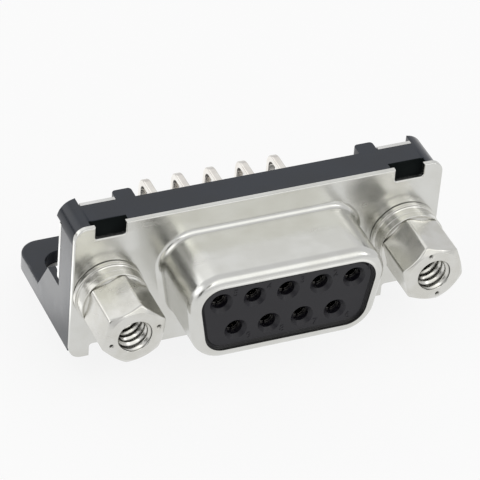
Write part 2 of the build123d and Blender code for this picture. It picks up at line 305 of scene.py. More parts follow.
@dataclass(frozen=True)
class PlatedMetal(Finish):
    """Finish of a plated metal piece, which is duller where its tone wanders and where it is rubbed.

    The piece's shade attribute, from 0 to 1, says where the metal is darkened and dulled as painted shade in
    its hollows.
    """

    broad_scale: float = 500.0
    fine_scale: float = 5000.0
    fine_share: float = 0.25
    # Colour and extra roughness where the shade attribute is 1: painted shade.
    residue_colour: Colour = (0.02, 0.018, 0.014)
    residue_roughness: float = 0.3

    def skin(self, graph: Graph, colour: object, tone: object, rubbed: object) -> dict[str, object]:
        """Work out the metal's colour and roughness.

        Args:
            graph: the material's graph.
            colour: the mottled colour's socket.
            tone: the mottle's tone.
            rubbed: the mask of the rub marks.

        Returns:
            The shader's inputs by name.
        """
        painted_shade = graph.add("ShaderNodeAttribute", attribute_name=PAINTED_SHADE).outputs["Fac"]
        wander = graph.math("MULTIPLY", tone, self.roughness_spread)
        dulled = graph.math("MULTIPLY_ADD", rubbed, self.roughness_spread, wander)
        shade_dulled = graph.math("MULTIPLY_ADD", painted_shade, self.residue_roughness, dulled)
        return {"Base Color": graph.blend(painted_shade, colour, (*self.residue_colour, 1.0)),
                "Metallic": 1.0, "Roughness": graph.math("ADD", shade_dulled, self.roughness)}


@dataclass(frozen=True)
class MouldedPlastic(Finish):
    """Finish of a black moulded piece: dark body and a satin skin that rubbing polishes."""

    broad_scale: float = 350.0
    fine_scale: float = 9000.0
    fine_share: float = 0.7
    refraction: float = 1.45
    rub_gloss: float = 0.08

    def skin(self, graph: Graph, colour: object, tone: object, rubbed: object) -> dict[str, object]:
        """Work out the plastic's roughness.

        Args:
            graph: the material's graph.
            colour: the mottled colour's socket.
            tone: the mottle's tone.
            rubbed: the mask of the rub marks.

        Returns:
            The shader's inputs by name.
        """
        dulled = graph.math("MULTIPLY_ADD", tone, self.roughness_spread, self.roughness)
        polished = graph.math("MULTIPLY", rubbed, self.rub_gloss)
        return {"Base Color": colour, "Roughness": graph.math("SUBTRACT", dulled, polished),
                "IOR": self.refraction}


FINISHES: dict[Slot, Finish] = {
    Slot.SHELL: PlatedMetal(
        "shell_nickel_plating", (0.665, 0.665, 0.64), (0.635, 0.632, 0.60), 0.2, 0.05, 0.002 * MM),
    Slot.HARDWARE: PlatedMetal(
        "hardware_nickel_plating", (0.665, 0.66, 0.63), (0.62, 0.612, 0.57), 0.2, 0.07, 0.0015 * MM,
        broad_scale=700.0),
    Slot.STRAP: PlatedMetal(
        "strap_tin_plating", (0.70, 0.70, 0.69), (0.65, 0.65, 0.63), 0.24, 0.06, 0.002 * MM),
    Slot.CONTACT: PlatedMetal(
        "tail_tin_plating", (0.74, 0.72, 0.68), (0.68, 0.65, 0.61), 0.12, 0.04, 0.0008 * MM,
        broad_scale=900.0),
    Slot.INSULATOR: MouldedPlastic(
        "insulator_black_plastic", (0.006, 0.0055, 0.009), (0.009, 0.0085, 0.012), 0.36, 0.08,
        0.002 * MM, refraction=1.42),
    Slot.BRACKET: MouldedPlastic(
        "bracket_black_plastic", (0.006, 0.010, 0.018), (0.009, 0.014, 0.024), 0.2, 0.06,
        0.002 * MM, refraction=1.46),
}
# Darker, duller plastic that paints the shade inside the bracket's top recesses.
RECESS_SHADE_FINISH = MouldedPlastic(
    "recess_painted_shade_plastic", (0.004, 0.006, 0.006), (0.006, 0.008, 0.008), 0.5, 0.06, 0.002 * MM,
    refraction=1.15)


@dataclass
class Surface:
    """Points, shaped (count, 3), and faces as tuples of point numbers."""

    points: np.ndarray
    faces: list[tuple[int, ...]]

    def outward(self) -> "Surface":
        """Turn the faces outwards.

        The volume is a sixth of the sum of p0 . (p1 x p2) over each face's fan of triangles.
        Where it is negative, every face points inwards, and is read the other way round.

        Returns:
            The surface itself.
        """
        volume = 0.0
        for count in {len(face) for face in self.faces}:
            corners = self.points[np.array([face for face in self.faces if len(face) == count])]
            volume += np.sum(corners[:, :1] * np.cross(corners[:, 1:-1], corners[:, 2:]))
        if volume < 0:
            self.faces = [face[::-1] for face in self.faces]
        return self


def sheet_grid(points: np.ndarray, wrap_rows: bool, wrap_columns: bool, capped: bool) -> Surface:
    """Join a grid of points with quads.

    A quad joins point (i, j), its neighbour (i, j + 1) and the two points below them.

    Args:
        points: the grid, shaped (rows, columns, 3).
        wrap_rows: whether the last row meets the first.
        wrap_columns: whether the last column meets the first.
        capped: whether one face closes each open end that is a ring.

    Returns:
        The surface.
    """
    rows, columns = points.shape[:2]
    numbers = np.arange(rows * columns).reshape(rows, columns)
    below = np.roll(numbers, -1, axis=0)
    beside = np.roll(numbers, -1, axis=1)
    diagonal = np.roll(below, -1, axis=1)
    quads = np.stack([numbers, beside, diagonal, below], axis=-1)
    quads = quads[: rows if wrap_rows else rows - 1, : columns if wrap_columns else columns - 1]
    faces = [tuple(face) for face in quads.reshape(-1, 4).tolist()]
    if capped and wrap_columns:
        faces += [tuple(numbers[0][::-1].tolist()), tuple(numbers[-1].tolist())]
    if capped and wrap_rows:
        faces += [tuple(numbers[:, 0].tolist()), tuple(numbers[:, -1][::-1].tolist())]
    return Surface(points.reshape(-1, 3), faces)


def rounded_profile(corners: np.ndarray, cuts: list[float], closed: bool, steps: int = 4) -> np.ndarray:
    """Round a profile's corners.

    At a corner P with cut c, A lies c before it and B c after it, and the corner becomes
    the parabola (1 - s)^2 A + 2 s (1 - s) P + s^2 B. The cut is at most CORNER_SHARE of the
    shorter stretch beside P. One more point FLAT_FROM c from P on each side keeps the straight
    stretches flat in shading. A corner with no cut stays.

    Args:
        corners: the corners, shaped (corners, columns, 2).
        cuts: the cut at each corner.
        closed: whether the last corner meets the first.
        steps: how many parts each rounded corner has.

    Returns:
        The rounded profile, shaped (rows, columns, 2).
    """
    share = np.linspace(0.0, 1.0, steps + 1)[:, None, None]
    rows = []
    for index, cut in enumerate(cuts):
        point = corners[index]
        at_end = not closed and index in (0, len(corners) - 1)
        if cut <= 0.0 or at_end:
            rows.append(point[None])
            continue
        before = corners[index - 1] - point
        after = corners[(index + 1) % len(corners)] - point
        length_before = np.linalg.norm(before, axis=-1, keepdims=True)
        length_after = np.linalg.norm(after, axis=-1, keepdims=True)
        room = np.minimum(cut, CORNER_SHARE * np.minimum(length_before, length_after))
        before, after = before / length_before * room, after / length_after * room
        curve = ((1 - share) ** 2 * (point + before) + 2 * share * (1 - share) * point
                 + share ** 2 * (point + after))
        rows += [(point + FLAT_FROM * before)[None], curve, (point + FLAT_FROM * after)[None]]
    return np.concatenate(rows)


def turned(profile: np.ndarray, angles: np.ndarray, axis: Vector) -> np.ndarray:
    """Carry a profile of (radius, depth) round an axis along Y.

    The point of radius r and depth y at angle a is (x + r cos a, y, z + r sin a).

    Args:
        profile: the profile, shaped (rows, columns, 2), one column for each angle.
        angles: the angles, in radians.
        axis: a point on the axis.

    Returns:
        The points, shaped (rows, columns, 3).
    """
    radius, depth = profile[..., 0], profile[..., 1]
    return np.stack([axis.x + radius * np.cos(angles), depth, axis.z + radius * np.sin(angles)], axis=-1)


def place_object(name: str, data: bpy.types.ID) -> bpy.types.Object:
    """Make an object in the scene.

    Args:
        name: the object's name.
        data: the mesh, lamp or camera that it holds.

    Returns:
        The new object.
    """
    made = bpy.data.objects.new(name, data)
    bpy.context.scene.collection.objects.link(made)
    return made


def make_piece(name: str, surface: Surface, finish: bpy.types.Material,
               painted_shade: np.ndarray | None = None) -> bpy.types.Object:
    """Make a piece that rides on the connector's body.

    Args:
        name: the piece's name.
        surface: its surface.
        finish: its material.
        painted_shade: how much painted shade each point gets, from 0 to 1, where it gets any.

    Returns:
        The new object.
    """
    mesh = bpy.data.meshes.new(name)
    mesh.from_pydata(surface.points.tolist(), [], surface.faces)
    mesh.polygons.foreach_set("use_smooth", np.ones(len(mesh.polygons), bool))
    if painted_shade is not None:
        layer = mesh.attributes.new(PAINTED_SHADE, "FLOAT", "POINT")
        layer.data.foreach_set("value", painted_shade.astype(np.float32).ravel())
    mesh.materials.append(finish)
    mesh.update()
    piece = place_object(name, mesh)
    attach(piece, BODY)
    log.info("%s: %d points, %d faces", name, len(mesh.vertices), len(mesh.polygons))
    return piece


def smooth_over_flats(mesh: bpy.types.Mesh, angle: float = SHARP_ANGLE) -> None:
    """Shade a mesh smooth, apart from the edges that turn by more than an angle.

    Args:
        mesh: the mesh.
        angle: the angle.
    """
    mesh.polygons.foreach_set("use_smooth", np.ones(len(mesh.polygons), bool))
    mesh.set_sharp_from_angle(angle=angle)


def dress(nodes: list[str], finish: bpy.types.Material) -> None:
    """Give CAD nodes a finish.

    Args:
        nodes: the nodes' names.
        finish: the material.
    """
    for name in nodes:
        for material_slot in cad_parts[name].material_slots:
            material_slot.material = finish
        log.info("%s dressed with %s", name, finish.name)


@dataclass
class MouldedBracket:
    """Bracket whose outer edges are rounded as a mould leaves them."""

    node: str = "bracket"
    merge_distance: float = 0.0005 * MM
    flat_angle: float = math.radians(0.5)
    sharp_angle: float = SHARP_ANGLE
    edge_width: float = 0.07 * MM
    edge_parts: int = 3
    recess_low: float = 1.7 * MM
    recess_near: float = 0.1 * MM
    recess_far: float = 0.6 * MM

    def build(self, finish: bpy.types.Material, recess_shade_finish: bpy.types.Material) -> None:
        """Build the piece from a copy of the CAD node.

        The copy's points are merged and its flat faces joined. Each outward edge that turns
        by more than the sharp angle gets a bevel weight, and a Bevel modifier rounds it. The
        faces of the two recesses at the top, just behind the front, get a darker, duller
        plastic that paints the shade falling in them.

        Args:
            finish: the plastic.
            recess_shade_finish: the darker, duller plastic that paints the shade inside the recesses.
        """
        low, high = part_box(self.node)
        shape = bmesh.new()
        shape.from_mesh(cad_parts[self.node].data)
        bmesh.ops.remove_doubles(shape, verts=shape.verts, dist=self.merge_distance)
        bmesh.ops.dissolve_limit(shape, angle_limit=self.flat_angle, verts=shape.verts, edges=shape.edges)
        weight = shape.edges.layers.float.new("bevel_weight_edge")
        for edge in shape.edges:
            if edge.is_manifold and edge.is_convex and edge.calc_face_angle() > self.sharp_angle:
                edge[weight] = 1.0
        # Faces in the top recesses take the second material, which is painted shade.
        for face in shape.faces:
            middle = face.calc_center_median()
            behind = middle.y - low.y
            if self.recess_near < behind < self.recess_far and middle.z > high.z - self.recess_low:
                face.material_index = 1
        mesh = bpy.data.meshes.new(f"moulded_{self.node}")
        shape.to_mesh(mesh)
        shape.free()
        mesh.materials.append(finish)
        mesh.materials.append(recess_shade_finish)
        piece = place_object(mesh.name, mesh)
        smooth_over_flats(mesh)
        bevel = piece.modifiers.new("edge_rounding", "BEVEL")
        bevel.width = self.edge_width
        bevel.segments = self.edge_parts
        bevel.limit_method = "WEIGHT"
        bevel.use_clamp_overlap = False
        bevel.harden_normals = True
        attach(piece, BODY)
        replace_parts(piece, self.node)
        log.info("%s: %d points, %d faces", piece.name, len(mesh.vertices), len(mesh.polygons))


@dataclass
class Jackscrew:
    """Hexagon jackscrew with a threaded bore, its collar, stud and two punch marks.

    The thread's flank is a row of (share of its height, half width). Half widths are counted in
    pitches, and so are the thread's start, shift, run-out and the gap that it leaves at the bottom.
    The bore's margin is a share of its radius.
    """

    side: Side
    turn: float
    mark_turn: float
    across_flats: float = 4.76 * MM
    corner_round: float = 0.32 * MM
    collar_thickness: float = 0.6 * MM
    neck_radius: float = 2.2 * MM
    neck_width: float = 0.12 * MM
    end_radius: float = 2.2 * MM
    crown_slope: float = math.radians(34.0)
    crown_cut: float = 0.12 * MM
    bore_radius: float = 1.37 * MM
    bore_depth: float = 4.0 * MM
    lead_in: float = 0.06 * MM
    stud_radius: float = 1.42 * MM
    cap_radius: float = 0.3 * MM
    edge_cut: float = 0.05 * MM
    thread_pitch: float = 0.635 * MM
    thread_depth: float = 0.26 * MM
    thread_sunk: float = 0.01 * MM
    thread_root: float = 0.47
    thread_flank: tuple[tuple[float, float], ...] = ((0.3, 0.37), (0.6, 0.27), (0.88, 0.185), (1.0, 0.12))
    thread_start: float = 0.55
    thread_shift: float = 0.4
    thread_run_out: float = 0.33
    thread_end_gap: float = 0.5
    thread_least: float = 0.02
    # How fast the painted shade in the thread's valleys fades up the ridge.
    thread_residue_fall: float = 4.0
    thread_sharp_angle: float = math.radians(60.0)
    thread_columns: int = 72
    mark_place: float = 1.97 * MM
    mark_width: float = 0.12 * MM
    mark_depth: float = 0.3 * MM
    # How much painted shade a punch mark's dent gets.
    mark_residue: float = 1.4
    bore_margin: float = 1.001
    end_margin: float = 0.001 * MM
    columns: int = 180
    corner_columns: int = 9
    corner_spread: float = math.radians(3.0)
    end_rows: int = 12

    def __post_init__(self) -> None:
        """Read the screw's place from the frame."""
        self.name = f"jackscrew_{self.side.value}"
        self.low, self.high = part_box(self.name)
        self.axis = (self.low + self.high) / 2
        self.collar_radius = (self.high.x - self.low.x) / 2
        self.lock_washer_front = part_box(f"lock_washer_{self.side.value}")[0].y
        self.hex_base = self.lock_washer_front - self.collar_thickness
        self.bore_bottom = self.low.y + self.bore_depth

    def angles(self) -> np.ndarray:
        """Even angles round the axis, with more of them close to the hexagon's corners.

        Returns:
            The sorted angles, in radians.
        """
        even = np.linspace(0.0, FULL_TURN, self.columns, endpoint=False)
        close = np.linspace(-self.corner_spread, self.corner_spread, self.corner_columns)
        corners = self.turn + np.arange(6) * FULL_TURN / 6
        wanted = np.mod((corners[:, None] + close).ravel(), FULL_TURN)
        return np.unique(np.round(np.concatenate([even, wanted]), 6))

    def hexagon(self, angles: np.ndarray) -> np.ndarray:
        """Radius of the rounded hexagon at each angle.

        At the angle p from the middle of a face the flat lies at a / cos p. Near a corner the
        radius is that of a circle of radius c whose centre lies (a - c) / cos 30 out.

        Args:
            angles: angles round the axis.

        Returns:
            The radii.
        """
        apothem = self.across_flats / 2
        half = FULL_TURN / 12
        from_middle = np.abs(np.mod(angles - self.turn, 2 * half) - half)
        flat = apothem / np.cos(from_middle)
        centre = (apothem - self.corner_round) / math.cos(half)
        off = half - from_middle
        reach = self.corner_round ** 2 - (centre * np.sin(off)) ** 2
        arc = centre * np.cos(off) + np.sqrt(np.maximum(reach, 0.0))
        tangent = math.atan((apothem - self.corner_round) * math.tan(half) / apothem)
        return np.where(from_middle < tangent, flat, arc)

    def profile(self, angles: np.ndarray) -> np.ndarray:
        """Profile from the stud over collar, neck, hexagon and crown down to the bore's bottom.

        Where the hexagon's radius is h, the crown starts (h - e) tan s behind the end, with e
        the end's radius and s the slope.

        Args:
            angles: angles round the axis.

        Returns:
            The rounded profile of (radius, depth), shaped (rows, angles, 2).
        """
        hexagon = self.hexagon(angles)
        end, cut = self.low.y, self.edge_cut
        crown = end + np.maximum(hexagon - self.end_radius, 0.0) * math.tan(self.crown_slope)
        neck_front = self.hex_base - self.neck_width
        mouth = self.bore_radius + self.lead_in
        end_rings = np.linspace(self.end_radius, mouth, self.end_rows + 2)[1:-1]
        corners = [
            (self.cap_radius, self.high.y, 0.0),
            (self.stud_radius, self.high.y, 2 * cut),
            (self.stud_radius, self.lock_washer_front, 0.0),
            (self.collar_radius, self.lock_washer_front, cut),
            (self.collar_radius, self.hex_base, cut),
            (self.neck_radius, self.hex_base, 0.0),
            (self.neck_radius, neck_front, 0.0),
            (hexagon, neck_front, 0.3 * cut),
            (hexagon, crown, self.crown_cut),
            (self.end_radius, end, cut),
            *((radius, end, 0.0) for radius in end_rings),
            (mouth, end, 0.5 * cut),
            (self.bore_radius, end + self.lead_in, 0.5 * cut),
            (self.bore_radius, self.bore_bottom, cut),
            (self.cap_radius, self.bore_bottom, 0.0),
        ]
        places = [np.stack(np.broadcast_arrays(radius, depth, angles)[:2], axis=-1)
                  for radius, depth, _ in corners]
        return rounded_profile(np.array(places), [corner[2] for corner in corners], closed=False)

    def build_body(self, finish: bpy.types.Material) -> None:
        """Build the turned hexagon, collar and stud as one surface.

        A punch mark sinks the end by its depth times exp(-(r / w)^2) at the distance r from
        its middle, where w is its width. The marks and the bore get painted shade: their
        plating is darkened where shade falls in them.

        Args:
            finish: the plating.
        """
        angles = self.angles()
        profile = self.profile(angles)
        points = turned(profile, angles, self.axis)
        on_end = np.abs(points[..., 1] - self.low.y) < self.end_margin
        in_bore = ((profile[..., 0] < self.bore_margin * self.bore_radius)
                   & (profile[..., 1] < self.bore_bottom + self.edge_cut))
        # Painted shade: the bore is darkened all over, and the punch marks are darkened where they sink.
        painted_shade = in_bore.astype(float)
        for mark in (self.mark_turn, self.mark_turn + math.pi):
            away_x = points[..., 0] - self.axis.x - self.mark_place * math.cos(mark)
            away_z = points[..., 2] - self.axis.z - self.mark_place * math.sin(mark)
            dent = np.where(on_end, np.exp(-(away_x ** 2 + away_z ** 2) / self.mark_width ** 2), 0.0)
            points[..., 1] += self.mark_depth * dent
            painted_shade += self.mark_residue * dent
        surface = sheet_grid(points, wrap_rows=False, wrap_columns=True, capped=True).outward()
        piece = make_piece(f"hexagon_{self.name}", surface, finish, np.minimum(painted_shade, 1.0))
        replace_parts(piece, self.name)

    def build_thread(self, finish: bpy.types.Material) -> None:
        """Build the bore's thread as a ridge carried along a helix.

        At turn t a section point (height h, width w) lies at radius R - h e, angle 2 pi t and
        depth y + p (t - s) + w, where R is the bore's radius, p the pitch, s the shift and e
        rises smoothly from almost 0 to 1 over the run-out at both ends. The width is full from
        e = 1/2 on. The painted shade, which stands in for the shade in the thread's valleys,
        falls from 1 at the ridge's root to 0 at 1 / fall of its height.

        Args:
            finish: the plating.
        """
        pitch, depth, start = self.thread_pitch, self.thread_depth, self.thread_start
        first = self.low.y + self.lead_in - self.thread_shift * pitch
        stop = (self.bore_bottom - first) / pitch - self.thread_end_gap
        turn = np.linspace(start, stop, int((stop - start) * self.thread_columns))[None, :]
        ease = np.clip(np.minimum(turn - start, stop - turn) / self.thread_run_out, 0.0, 1.0)
        ease = self.thread_least + (1.0 - self.thread_least) * ease * ease * (3 - 2 * ease)
        flank = [(share * depth, width) for share, width in self.thread_flank]
        half_section = np.array([(-self.thread_sunk, self.thread_root), *flank])
        section = np.concatenate([half_section * (1, -1), half_section[::-1]]) * (1, pitch)
        height = section[:, :1] * ease
        along = first + pitch * turn + section[:, 1:] * np.minimum(ease * 2, 1.0)
        angle = np.broadcast_to(FULL_TURN * turn, height.shape)
        points = turned(np.stack([self.bore_radius - height, along], axis=-1), angle, self.axis)
        painted_shade = np.clip(1.0 - self.thread_residue_fall * height / depth, 0.0, 1.0)
        surface = sheet_grid(points, wrap_rows=True, wrap_columns=False, capped=True).outward()
        piece = make_piece(f"bore_thread_{self.side.value}", surface, finish, painted_shade)
        smooth_over_flats(piece.data, self.thread_sharp_angle)


@dataclass
class Washers:
    """Flat washer and split lock washer behind one jackscrew."""

    side: Side
    gap_turn: float
    hole_radius: float = 1.55 * MM
    edge: float = 0.05 * MM
    groove_width: float = 0.05 * MM
    groove_depth: float = 0.18 * MM
    gap: float = 0.35 * MM
    slant: float = math.radians(25.0)
    columns: int = 144

    def section(self, node: str) -> tuple[np.ndarray, Vector]:
        """Rounded section of a washer, stepped back at both faces so that a dark line parts two washers.

        Args:
            node: the CAD node's name.

        Returns:
            The section, shaped (rows, 1, 2), and a point on the axis.
        """
        low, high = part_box(node)
        outer = (high.z - low.z) / 2
        stepped = outer - self.groove_depth
        corners = np.array([
            (self.hole_radius, low.y), (stepped, low.y), (stepped, low.y + self.groove_width),
            (outer, low.y + self.groove_width), (outer, high.y - self.groove_width),
            (stepped, high.y - self.groove_width), (stepped, high.y), (self.hole_radius, high.y)])
        axis = Vector(((low.x + high.x) / 2, (low.y + high.y) / 2, (low.z + high.z) / 2))
        cuts = [self.edge / 2, 0.0, 0.0, self.edge, self.edge, 0.0, 0.0, self.edge / 2]
        return rounded_profile(corners[:, None, :], cuts, closed=True), axis

    def build_flat(self, finish: bpy.types.Material) -> None:
        """Build the flat washer by carrying its section all the way round.

        Args:
            finish: the plating.
        """
        node = f"flat_washer_{self.side.value}"
        section, axis = self.section(node)
        angles = np.linspace(0.0, FULL_TURN, self.columns, endpoint=False)
        points = turned(np.broadcast_to(section, (len(section), self.columns, 2)), angles, axis)
        surface = sheet_grid(points, wrap_rows=True, wrap_columns=True, capped=False).outward()
        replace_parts(make_piece(f"rounded_{node}", surface, finish), node)

    def build_lock(self, finish: bpy.types.Material) -> None:
        """Build the lock washer by carrying its section from one side of the gap to the other.

        The gap's sides slant, so a section point at depth y starts at the angle
        g + (gap / 2 + (y - middle) tan slant) / r.

        Args:
            finish: the plating.
        """
        node = f"lock_washer_{self.side.value}"
        section, axis = self.section(node)
        lean = (section[..., 1] - axis.y) * math.tan(self.slant) / section[..., 0]
        half_gap = self.gap / 2 / section[..., 0]
        start = self.gap_turn + half_gap + lean
        stop = self.gap_turn + FULL_TURN - half_gap + lean
        share = np.linspace(0.0, 1.0, self.columns)[None, :]
        angles = start * (1 - share) + stop * share
        points = turned(np.broadcast_to(section, (len(section), self.columns, 2)), angles, axis)
        surface = sheet_grid(points, wrap_rows=True, wrap_columns=False, capped=True).outward()
        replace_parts(make_piece(f"split_{node}", surface, finish), node)


@dataclass
class ContactNumbers:
    """Small raised numbers beside the contact holes."""

    pitch: float = 2.77 * MM
    row_spacing: float = 2.84 * MM
    upper_count: int = 5
    lower_count: int = 4
    digit_size: float = 0.85 * MM
    raised: float = 0.03 * MM
    offset_x: float = 1.15 * MM
    upper_lift: float = 0.75 * MM
    lower_drop: float = 0.85 * MM

    def places(self) -> list[tuple[int, float, float]]:
        """Count along the upper row and then the lower one, from the right.

        Returns:
            Each number with its X and its height over the socket's centre.
        """
        found = []
        for count, height, shift in (
            (self.upper_count, self.row_spacing / 2, self.upper_lift),
            (self.lower_count, -self.row_spacing / 2, -self.lower_drop),
        ):
            for position in range(count):
                x = self.pitch * ((count - 1) / 2 - position)
                found.append((len(found) + 1, x + self.offset_x, height + shift))
        return found

    def build(self, finish: bpy.types.Material) -> None:
        """Build all the numbers as one piece.

        Args:
            finish: the insulator's plastic.
        """
        low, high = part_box("front_insulator")
        middle = (low.z + high.z) / 2
        points, faces, start = [], [], 0
        for number, x, height in self.places():
            text = bpy.data.curves.new(f"number_{number}", "FONT")
            text.body = str(number)
            text.size = self.digit_size
            text.extrude = self.raised
            text.align_x = "CENTER"
            text.align_y = "CENTER"
            holder = bpy.data.objects.new(text.name, text)
            mesh = bpy.data.meshes.new_from_object(holder)
            upright = Matrix.Rotation(FULL_TURN / 4, 4, "X")
            mesh.transform(Matrix.Translation((x, low.y, middle + height)) @ upright)
            corners = np.empty((len(mesh.vertices), 3), np.float32)
            mesh.vertices.foreach_get("co", corners.ravel())
            points.append(corners)
            faces += [tuple(start + index for index in face.vertices) for face in mesh.polygons]
            start += len(corners)
            bpy.data.objects.remove(holder)
        surface = Surface(np.concatenate(points), faces)
        piece = make_piece("contact_numbers", surface, finish)
        piece.data.polygons.foreach_set("use_smooth", np.zeros(len(piece.data.polygons), bool))


def direction(azimuth: float, elevation: float) -> Vector:
    """Unit vector at an azimuth, turned from the mating side towards +X, and an elevation."""
    level = math.cos(elevation)
    return Vector((math.sin(azimuth) * level, -math.cos(azimuth) * level, math.sin(elevation)))


def level_right(azimuth: float) -> Vector:
    """Level unit vector to the right of someone who looks back from an azimuth."""
    return Vector((math.cos(azimuth), math.sin(azimuth), 0.0))


@dataclass(frozen=True)
class MirroredPatch:
    """Oval patch of the room that shiny surfaces mirror: a lit panel or an unlit part."""

    azimuth: float
    elevation: float
    half_width: float
    half_height: float
    softness: float
    colour: Colour

    def lay_over(self, graph: Graph, way: bpy.types.NodeSocket, ground: object) -> bpy.types.NodeSocket:
        """Lay the patch over a colour.

        With a and b the view direction's shares along the patch's right and up vectors,
        each over the sine of the half size, the patch fades where sqrt(a^2 + b^2) passes 1.

        Args:
            graph: the world's graph.
            way: the view direction's socket.
            ground: the colour or socket below.

        Returns:
            The mixed colour.
        """
        turn, rise = math.radians(self.azimuth), math.radians(self.elevation)
        middle, right = direction(turn, rise), level_right(turn)
        parts = []
        for axis, half in ((right, self.half_width), (middle.cross(right), self.half_height)):
            share = graph.dot(way, tuple(axis / math.sin(math.radians(half))))
            parts.append(graph.math("POWER", graph.math("ABSOLUTE", share), 2.0))
        off = graph.math("SQRT", graph.math("ADD", *parts))
        fade = graph.ramp(off, 1.0 + self.softness, 1.0 - self.softness)
        ahead = graph.math("GREATER_THAN", graph.dot(way, tuple(middle)), 0.0)
        return graph.blend(graph.math("MULTIPLY", fade, ahead), ground, (*self.colour, 1.0))


# A floor patch is painted light. It is a pool of light where its level is high and a painted shadow where its
# level is low.
@dataclass(frozen=True)
class FloorPatch:
    """Oval patch of the floor that shiny surfaces mirror lighter or darker than the rest."""

    place: tuple[float, float]
    half_x: float
    half_y: float
    softness: float
    level: float

    def lay_over(self, graph: Graph, place: bpy.types.NodeSocket, ground: object) -> bpy.types.NodeSocket:
        """Lay the patch over a brightness.

        The patch fades where sqrt(((x - cx) / hx)^2 + ((y - cy) / hy)^2) passes 1.

        Args:
            graph: the floor material's graph.
            place: the Object coordinates' socket.
            ground: the brightness or socket below.

        Returns:
            The mixed brightness.
        """
        scale = (1.0 / self.half_x, 1.0 / self.half_y, 0.0)
        shift = (-self.place[0] * scale[0], -self.place[1] * scale[1], 0.0)
        moved = graph.add("ShaderNodeVectorMath", {0: place, 1: scale, 2: shift}, operation="MULTIPLY_ADD")
        off = graph.add("ShaderNodeVectorMath", {0: moved.outputs[0]}, operation="LENGTH")
        fade = graph.ramp(off.outputs["Value"], 1.0 + self.softness, 1.0 - self.softness)
        return graph.mix(fade, ground, self.level)


@dataclass(frozen=True)
class SoftBox:
    """Square area lamp. Its level is the share of white that it gives a white surface facing it."""

    name: str
    azimuth: float
    elevation: float
    distance: float
    size: float
    level: float

    def build(self, target: Vector) -> None:
        """Place the lamp and aim it.

        A lamp of power P at distance d gives a facing white surface P / (pi^2 d^2).

        Args:
            target: the point that it faces.
        """
        back = direction(math.radians(self.azimuth), math.radians(self.elevation))
        lamp = bpy.data.lights.new(self.name, "AREA")
        lamp.shape = "SQUARE"
        lamp.size = self.size
        lamp.energy = self.level * (math.pi * self.distance) ** 2
        holder = place_object(self.name, lamp)
        holder.location = target + back * self.distance
        holder.rotation_mode = "QUATERNION"
        holder.rotation_quaternion = (-back).to_track_quat("-Z", "Y")
        holder.visible_glossy = False


